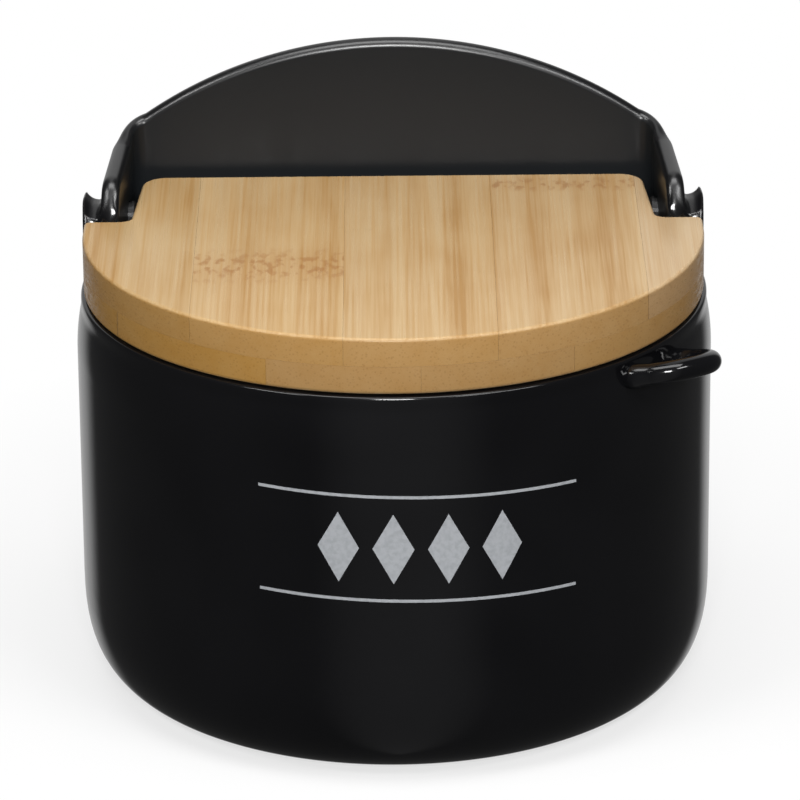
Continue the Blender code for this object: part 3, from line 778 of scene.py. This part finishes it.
def wall_path(point, outward):
    """The section, which turns from rim to hood over the lug's steep front."""
    run = (point.y - SWING_FRONT) / LUG_FRONT_RUN
    if run <= 0 or run >= 1:
        return wall_section(point, outward, run >= 1)
    share = math.sin(math.pi / 2 * math.sqrt(run))
    pairs = zip(wall_section(point, outward, False), wall_section(point, outward, True))
    return [rim.lerp(hood, share) for rim, hood in pairs]


def bush_bore(side):
    """A cylinder along the hinge line, through the cheek on one side."""
    bore = bmesh.new()
    radius = BORE_RADIUS * MM
    bmesh.ops.create_cone(
        bore, cap_ends=True, segments=64, radius1=radius, radius2=radius, depth=BORE_DEPTH * MM
    )
    along_x = Quaternion((0, 1, 0), math.pi / 2).to_matrix()
    bmesh.ops.rotate(bore, verts=bore.verts, matrix=along_x)
    centre = Vector((side * CHEEK_OUTER, ARC_Y + AXIS_Y, AXIS_Z)) * MM
    bmesh.ops.translate(bore, verts=bore.verts, vec=centre)
    return bore


def make_pot(glaze):
    """The pot with its hood, thrown and joined in one piece, with the bushes' bores cut."""
    right = half_plan()
    plan = right + [(Vector((-p.x, p.y)), Vector((-n.x, n.y))) for p, n in right[-2:0:-1]]
    bm = bmesh.new()
    columns = [[bm.verts.new(place * MM) for place in wall_path(*station)] for station in plan]
    for column, following in zip(columns, columns[1:] + columns[:1]):
        for low in range(len(column) - 1):
            bm.faces.new((column[low], following[low], following[low + 1], column[low + 1]))
    for row in (0, -1):
        ring = [column[row] for column in columns]
        middle = bm.verts.new(Vector((0, ARC_Y * MM, ring[0].co.z)))
        for vert, following in zip(ring, ring[1:] + ring[:1]):
            bm.faces.new((middle, vert, following))
    pot = add_piece("glazed_pot", bm, glaze, "pot_body", "black_glaze", "pot")
    for side in (-1, 1):
        cut_away(pot, bush_bore(side))


def loop_place(share):
    """A point of the loop's middle line; share runs from the front root (0) to the rear one (1)."""
    out = direction_at(LOOP_AIM)
    across = Vector((-out.y, out.x))
    angle = math.pi * share
    turn_in = max(0.0, 1 - share / LOOP_FRONT_SHARE) ** 2
    reach = (LOOP_REACH + LOOP_ROOT_DEPTH) * math.sin(angle) ** 0.8 - LOOP_ROOT_DEPTH
    reach -= LOOP_FRONT_ROOT * turn_in
    forward = LOOP_HALF_SPAN * math.cos(angle) - LOOP_FRONT_TURN * turn_in
    place = direction_at(LOOP_AZIMUTH) * POT_RADIUS + out * reach - across * forward
    rise = reach * math.tan(LOOP_TILT) + forward * math.tan(LOOP_LEAN)
    return Vector((place.x, place.y, RIM_HEIGHT - LOOP_DROP + rise))


def loop_radius(place, share):
    """Radius of the coil: thicker where it nears the pot, tapered at the front root's buried end."""
    clear_of_pot = Vector((place.x, place.y)).length - (POT_RADIUS - neck_at(place.z))
    radius = mix(LOOP_ROOT_RADIUS, LOOP_RADIUS, ease(clear_of_pot / LOOP_ROOT_LENGTH))
    return radius * mix(LOOP_TAPER, 1.0, ease(share / LOOP_TAPER_SHARE))


def loop_rings(sides=40, steps=320):
    """Rings of points round the loop's middle line, closer together at the front root."""
    shares = [mix(LOOP_START, LOOP_END, (step / steps) ** 1.3) for step in range(steps + 1)]
    places = [loop_place(share) for share in shares]
    rings = []
    for step, place in enumerate(places):
        along = (places[min(step + 1, steps)] - places[max(step - 1, 0)]).normalized()
        sideways = along.cross(Vector((0, 0, 1))).normalized()
        upward = sideways.cross(along)
        radius = loop_radius(place, step / steps)
        ring = []
        for side in range(sides):
            angle = 2 * math.pi * side / sides
            spot = place + (sideways * math.cos(angle) + upward * math.sin(angle)) * radius
            ring.append(in_frame(spot, spot.z))
        rings.append(ring)
    return rings


def neck_rings(sides=180, steps=24):
    """Rings round the pot's neck, a little inside its surface, to cut the loop's roots by."""
    rings = []
    for step in range(steps + 1):
        height = mix(RIM_HEIGHT - 3 * NECK_UP, RIM_HEIGHT + NECK_UP, step / steps)
        radius = POT_RADIUS - neck_at(height) - LOOP_SINK
        rings.append(
            [in_frame(direction_at(2 * math.pi * side / sides) * radius, height) for side in range(sides)]
        )
    return rings


def make_loop(glaze):
    """The spoon loop: a coil of clay bent round and pressed onto the pot's side."""
    coil = closed_tube(loop_rings())
    loop = add_piece("clay_spoon_loop", coil, glaze, "pot_body", "black_glaze", "spoon_loop", smooth_angle=80)
    cut_away(loop, closed_tube(neck_rings()))


def arc_points(centre, radius, start, end, steps):
    """Points on an arc, angles in degrees."""
    points = []
    for step in range(steps + 1):
        angle = math.radians(mix(start, end, step / steps))
        points.append(Vector((centre[0] + radius * math.cos(angle), centre[1] + radius * math.sin(angle))))
    return points


def tongue_side(y):
    """X of the tongue's side, which runs along the cheek."""
    return TONGUE_HALF + (AXIS_Y - y) * math.tan(SIDE_TAPER)


def board_outline():
    """The lid seen from above: a round front, two wings and a narrower tongue behind."""
    fillet_y = WING_REAR + TONGUE_FILLET
    fillet_x = tongue_side(fillet_y) + TONGUE_FILLET / math.cos(SIDE_TAPER)
    corner_y = TONGUE_REAR - TONGUE_CORNER
    corner_x = tongue_side(corner_y) - TONGUE_CORNER / math.cos(SIDE_TAPER)
    taper = math.degrees(SIDE_TAPER)
    right = arc_points((0, 0), LID_RADIUS, -90, 0, 120)
    right += arc_points((LID_RADIUS - WING_CORNER, WING_REAR - WING_CORNER), WING_CORNER, 0, 90, 10)
    right += arc_points((fillet_x, fillet_y), TONGUE_FILLET, 270, 180 + taper, 12)
    right += arc_points((corner_x, corner_y), TONGUE_CORNER, taper, 90, 16)
    return right + [Vector((-p.x, p.y)) for p in reversed(right[1:])]


def cut_at(bm, x, direction):
    """Cuts off what lies beyond x in that direction and closes the cut."""
    cut = bmesh.ops.bisect_plane(
        bm,
        geom=bm.verts[:] + bm.edges[:] + bm.faces[:],
        plane_co=(x * MM, 0, 0),
        plane_no=(direction, 0, 0),
        clear_outer=True,
    )
    rim = [item for item in cut["geom_cut"] if isinstance(item, bmesh.types.BMEdge)]
    if rim:
        bmesh.ops.edgenet_fill(bm, edges=rim)


def make_strip(name, node, left, right, low, high, eased, material):
    """One strip of the board: the ply's outline, one edge eased, cut at the strip's joints."""
    bm = bmesh.new()
    face = bm.faces.new([bm.verts.new(in_frame(place, low) * MM) for place in board_outline()])
    raised = bmesh.ops.extrude_face_region(bm, geom=[face])["geom"]
    top = [item for item in raised if isinstance(item, bmesh.types.BMVert)]
    bmesh.ops.translate(bm, verts=top, vec=(0, 0, (high - low) * MM))
    level = eased * MM
    edges = [edge for edge in bm.edges if all(abs(v.co.z - level) < 0.001 * MM for v in edge.verts)]
    bmesh.ops.bevel(bm, geom=edges, offset=LID_EDGE * MM, segments=5, profile=0.5, affect="EDGES")
    cut_at(bm, left, -1)
    cut_at(bm, right, 1)
    add_piece(name, bm, material, "lid_body", "bamboo", node)


def make_lid():
    """The board: two plies of strips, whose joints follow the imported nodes."""
    middle = (LID_BOTTOM + LID_TOP) / 2
    beyond = 2 * POT_RADIUS
    overlap = (TOUCH_GAP - SEAM) / 2
    plies = (
        ("top", TOP_STRIPS, middle + SEAM / 2, LID_TOP, LID_TOP),
        ("bottom", BOTTOM_STRIPS, LID_BOTTOM, middle - SEAM / 2, LID_BOTTOM),
    )
    for word, strips, low, high, eased in plies:
        for number, (shade, warmth, knot) in enumerate(strips, 1):
            node = f"lid_{word}_strip_{number}"
            box_low, box_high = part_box(node)
            left = -beyond if number == 1 else box_low[0] / MM - overlap
            right = beyond if number == len(strips) else box_high[0] / MM + overlap
            wood = bamboo(f"oiled_bamboo_{word}_{number}", shade, warmth, knot)
            make_strip(f"bamboo_{word}_strip_{number}", node, left, right, low, high, eased, wood)


def print_patch(name, ink, left, right, steps, middle, half_height):
    """A thin closed patch of ink on the round front, of a height that half_height gives along it."""
    columns = []
    for step in range(steps + 1):
        along = mix(left, right, step / steps)
        low, high = middle - half_height(along), middle + half_height(along)
        fall = (along - PRINT_MIDDLE) * math.tan(PRINT_TILT)
        outward = direction_at(along / POT_RADIUS)
        inner, outer = outward * (POT_RADIUS - PRINT_PROUD), outward * (POT_RADIUS + PRINT_PROUD)
        corners = ((inner, low), (outer, low), (outer, high), (inner, high))
        columns.append([in_frame(place, height + fall) for place, height in corners])
    add_piece(name, closed_tube(columns), ink, "pot_body", "black_glaze")


def make_print(ink):
    """Two lines and a row of lozenges, all on the same slight slope."""
    left, right = PRINT_MIDDLE - PRINT_HALF, PRINT_MIDDLE + PRINT_HALF
    for word, height in (("upper", PRINT_UPPER), ("lower", PRINT_LOWER)):
        print_patch(f"print_line_{word}", ink, left, right, 64, height, lambda along: PRINT_THICK / 2)
    middle = (PRINT_UPPER + PRINT_LOWER) / 2
    for index in range(LOZENGE_COUNT):
        centre = PRINT_MIDDLE + LOZENGE_STEP * (index - (LOZENGE_COUNT - 1) / 2)
        left, right = centre - LOZENGE_HALF_WIDTH, centre + LOZENGE_HALF_WIDTH

        def half_height(along, centre=centre):
            share = 1 - abs(along - centre) / LOZENGE_HALF_WIDTH
            return max(LOZENGE_POINT, LOZENGE_HALF_HEIGHT * share)

        print_patch(f"print_lozenge_{index + 1}", ink, left, right, 16, middle, half_height)


def make_camera():
    """The photograph's view: a long lens, a little above the lid."""
    camera = bpy.data.objects.new("camera", bpy.data.cameras.new("camera"))
    back = Vector((0, -math.cos(CAMERA_ELEVATION), math.sin(CAMERA_ELEVATION)))
    camera.location = CAMERA_AIM + back * CAMERA_DISTANCE
    # It stands before the pot's middle and looks a little to the right
    camera.location.x = 0
    camera.rotation_mode = "QUATERNION"
    look = (CAMERA_AIM - camera.location).to_track_quat("-Z", "Y")
    camera.rotation_quaternion = look @ Quaternion((0, 0, 1), CAMERA_ROLL)
    camera.data.lens = CAMERA_LENS
    camera.data.sensor_width = 36
    camera.data.clip_start = 0.05
    bpy.context.scene.collection.objects.link(camera)
    bpy.context.scene.camera = camera


def add_softbox(name, azimuth, elevation, distance, width, height, radiance):
    """An area lamp that looks at the pot; angles are degrees and lengths metres."""
    lamp = bpy.data.objects.new(name, bpy.data.lights.new(name, "AREA"))
    lamp.data.shape = "RECTANGLE"
    lamp.data.size = width
    lamp.data.size_y = height
    lamp.data.energy = math.pi * width * height * radiance
    turn, lift = math.radians(azimuth), math.radians(elevation)
    away = Vector((math.sin(turn) * math.cos(lift), -math.cos(turn) * math.cos(lift), math.sin(lift)))
    lamp.location = LAMP_AIM + away * distance
    lamp.rotation_mode = "QUATERNION"
    lamp.rotation_quaternion = (-away).to_track_quat("-Z", "Y")
    bpy.context.scene.collection.objects.link(lamp)


def make_world():
    """A white backdrop behind, a dim room with a paler patch in front, and a weak even fill."""
    world = bpy.data.worlds.new("studio")
    bpy.context.scene.world = world
    world.use_nodes = True
    tree = world.node_tree
    towards = add_node(tree, "ShaderNodeTexCoord", out="Generated")
    height = add_node(tree, "ShaderNodeSeparateXYZ", {"Vector": towards}, out="Z")
    flat = add_node(tree, "ShaderNodeVectorMath", {0: towards, 1: (1, 1, 0)}, operation="MULTIPLY")
    level = add_node(tree, "ShaderNodeVectorMath", {0: flat}, operation="NORMALIZE")
    rear = (-math.sin(BACKDROP_TURN), math.cos(BACKDROP_TURN), 0)
    behind = add_node(
        tree, "ShaderNodeVectorMath", {0: level, 1: rear}, out="Value", operation="DOT_PRODUCT"
    )
    # What the glaze mirrors: the backdrop, which ends below at the table's edge, and the front patch
    zones = (
        (behind, 0.80, 0.93, BACKDROP_GLOW - ROOM_GLOW),
        (height, -0.60, -0.42, 1.0),
        (behind, -0.82, -1.0, FRONT_GLOW),
    )
    backdrop, above_table, front = [
        add_node(
            tree,
            "ShaderNodeMapRange",
            {"Value": value, "From Min": low, "From Max": high, "To Max": glow},
            interpolation_type="SMOOTHSTEP",
        )
        for value, low, high, glow in zones
    ]
    glows = {0: backdrop, 1: above_table, 2: front}
    room = add_node(tree, "ShaderNodeMath", glows, operation="MULTIPLY_ADD")
    room = add_node(tree, "ShaderNodeMath", {0: room, 1: ROOM_GLOW}, operation="ADD")
    glossy = add_node(tree, "ShaderNodeLightPath", out="Is Glossy Ray")
    through = add_node(tree, "ShaderNodeLightPath", out="Is Transmission Ray")
    shiny = add_node(tree, "ShaderNodeMath", {0: glossy, 1: through}, operation="MAXIMUM")
    seen = add_node(tree, "ShaderNodeLightPath", out="Is Camera Ray")
    plain = add_node(tree, "ShaderNodeMix", {"Factor": shiny, 2: FILL_LEVEL, 3: room})
    strength = add_node(tree, "ShaderNodeMix", {"Factor": seen, 2: plain, 3: 1.0})
    fill_inputs(tree.nodes["Background"], {"Color": (1, 1, 1, 1), "Strength": strength})


def studio_paper():
    """Matt paper: to the camera it keeps the shadow round the foot and is white farther out.

    To other rays it is grey, so that it throws little light up onto the pot.
    """
    material, tree, shader = new_material("pale_studio_paper")
    seen = add_node(tree, "ShaderNodeLightPath", out="Is Camera Ray")
    shades = {"Factor": seen, 6: colour("#6a6a6a"), 7: colour("#ffffff")}
    paper = add_node(tree, "ShaderNodeMix", shades, out=2, data_type="RGBA")
    fill_inputs(shader, {"Base Color": paper, "Roughness": 0.9})
    place = add_node(tree, "ShaderNodeTexCoord", out="Object")
    away = add_node(tree, "ShaderNodeVectorMath", {0: place}, out="Value", operation="LENGTH")
    near, far = POT_RADIUS * MM, 3 * POT_RADIUS * MM
    white = add_node(
        tree,
        "ShaderNodeMapRange",
        {"Value": away, "From Min": near, "From Max": far, "To Min": 0.65, "To Max": 1.0},
    )
    share = add_node(tree, "ShaderNodeMath", {0: seen, 1: white}, operation="MULTIPLY")
    glow = add_node(tree, "ShaderNodeEmission", {"Strength": 1.0})
    mixed = add_node(tree, "ShaderNodeMixShader", {0: share, 1: shader.outputs[0], 2: glow})
    fill_inputs(tree.nodes["Material Output"], {"Surface": mixed})
    return material


def make_floor():
    """A pale sweep that the pot stands on."""
    bm = bmesh.new()
    bmesh.ops.create_circle(bm, cap_ends=True, segments=64, radius=FLOOR_RADIUS)
    mesh = bpy.data.meshes.new("floor")
    bm.to_mesh(mesh)
    bm.free()
    mesh.materials.append(studio_paper())
    floor = bpy.data.objects.new("floor", mesh)
    floor.location.z = -FLOOR_GAP * MM
    floor.visible_glossy = False
    bpy.context.scene.collection.objects.link(floor)


def make_studio():
    """Camera, backdrop, floor and lamps."""
    make_camera()
    make_world()
    make_floor()
    for softbox in SOFTBOXES:
        add_softbox(*softbox)
    bpy.context.scene.view_settings.view_transform = "Standard"


def dress_nodes():
    """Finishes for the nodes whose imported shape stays."""
    for name, material in (("hinge_pin", drawn_steel()), ("hinge_bush", moulded_nylon())):
        for side in ("left", "right"):
            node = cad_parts[f"{name}_{side}"]
            node.data.materials.clear()
            node.data.materials.append(material)


glaze_finish = black_glaze()
make_pot(glaze_finish)
make_loop(glaze_finish)
make_lid()
make_print(enamel_print())
dress_nodes()
make_studio()
